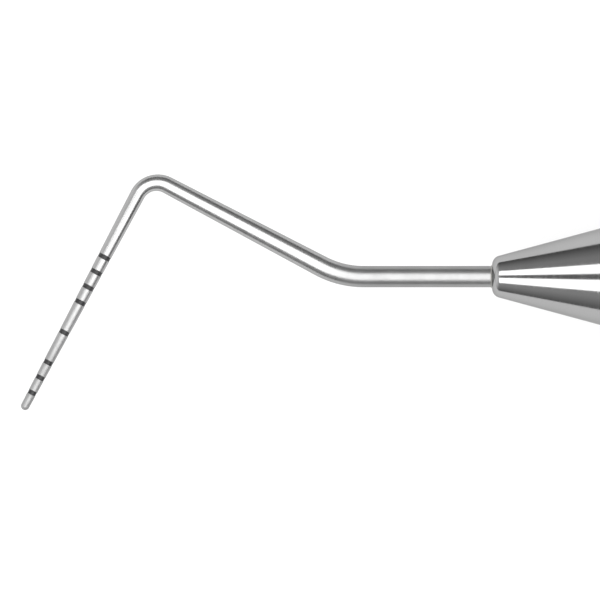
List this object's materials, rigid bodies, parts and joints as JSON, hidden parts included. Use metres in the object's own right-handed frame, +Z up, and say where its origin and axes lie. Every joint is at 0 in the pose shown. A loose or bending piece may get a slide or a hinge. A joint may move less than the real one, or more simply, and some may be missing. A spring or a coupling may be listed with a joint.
{
  "type": "periodontal probe",
  "caption": "Single-ended dental probe: a bent tapered rod with depth marks, brazed in a nose cone that unscrews from a knurled hollow handle.",
  "frame": {"origin": "on the handle's axis, in the middle of the plain stretch of the handle that a holder takes", "axes": "+X along the handle's axis from the working end to the rear plug, +Y towards the outside of the elbow in the plane of the bent working end, +Z up as the probe lies on its handle on a table"},
  "size_m": [0.1699, 0.0138, 0.0096],
  "materials": {
    "polished_steel": "polished",
    "satin_steel": "satin",
    "silver_braze": "bright",
    "mark_enamel": "satin",
    "grip_silicone": "matt"
  },
  "bodies": {
    "handle": {"handle_tube": "satin_steel", "socket_insert": "satin_steel", "insert_pins": "polished_steel", "grip_ring_1": "grip_silicone", "grip_ring_2": "grip_silicone", "grip_ring_3": "grip_silicone", "id_ring": "grip_silicone", "end_plug": "polished_steel"},
    "seal": {"seal_ring": "grip_silicone"},
    "working_end": {"nose_cone": "polished_steel", "braze_fillet": "silver_braze", "probe_rod": "polished_steel", "depth_mark_01mm": "mark_enamel", "depth_mark_02mm": "mark_enamel", "depth_mark_03mm": "mark_enamel", "depth_mark_05mm": "mark_enamel", "depth_mark_07mm": "mark_enamel", "depth_mark_08mm": "mark_enamel", "depth_mark_09mm": "mark_enamel", "depth_mark_10mm": "mark_enamel"}
  },
  "joints": [
    {"name": "working_end_advance", "type": "slide", "parent": "handle", "child": "seal", "axis": [-1, 0, 0], "range_m": [0, 0.007]},
    {"name": "working_end_unscrew", "type": "hinge", "parent": "seal", "child": "working_end", "pos_m": [0, 0, 0], "axis": [-1, 0, 0], "range_deg": [0, 3605]}
  ],
  "couplings": [
    {"joint": "working_end_unscrew", "follows": "working_end_advance", "rad_per_m": 8976}
  ]
}
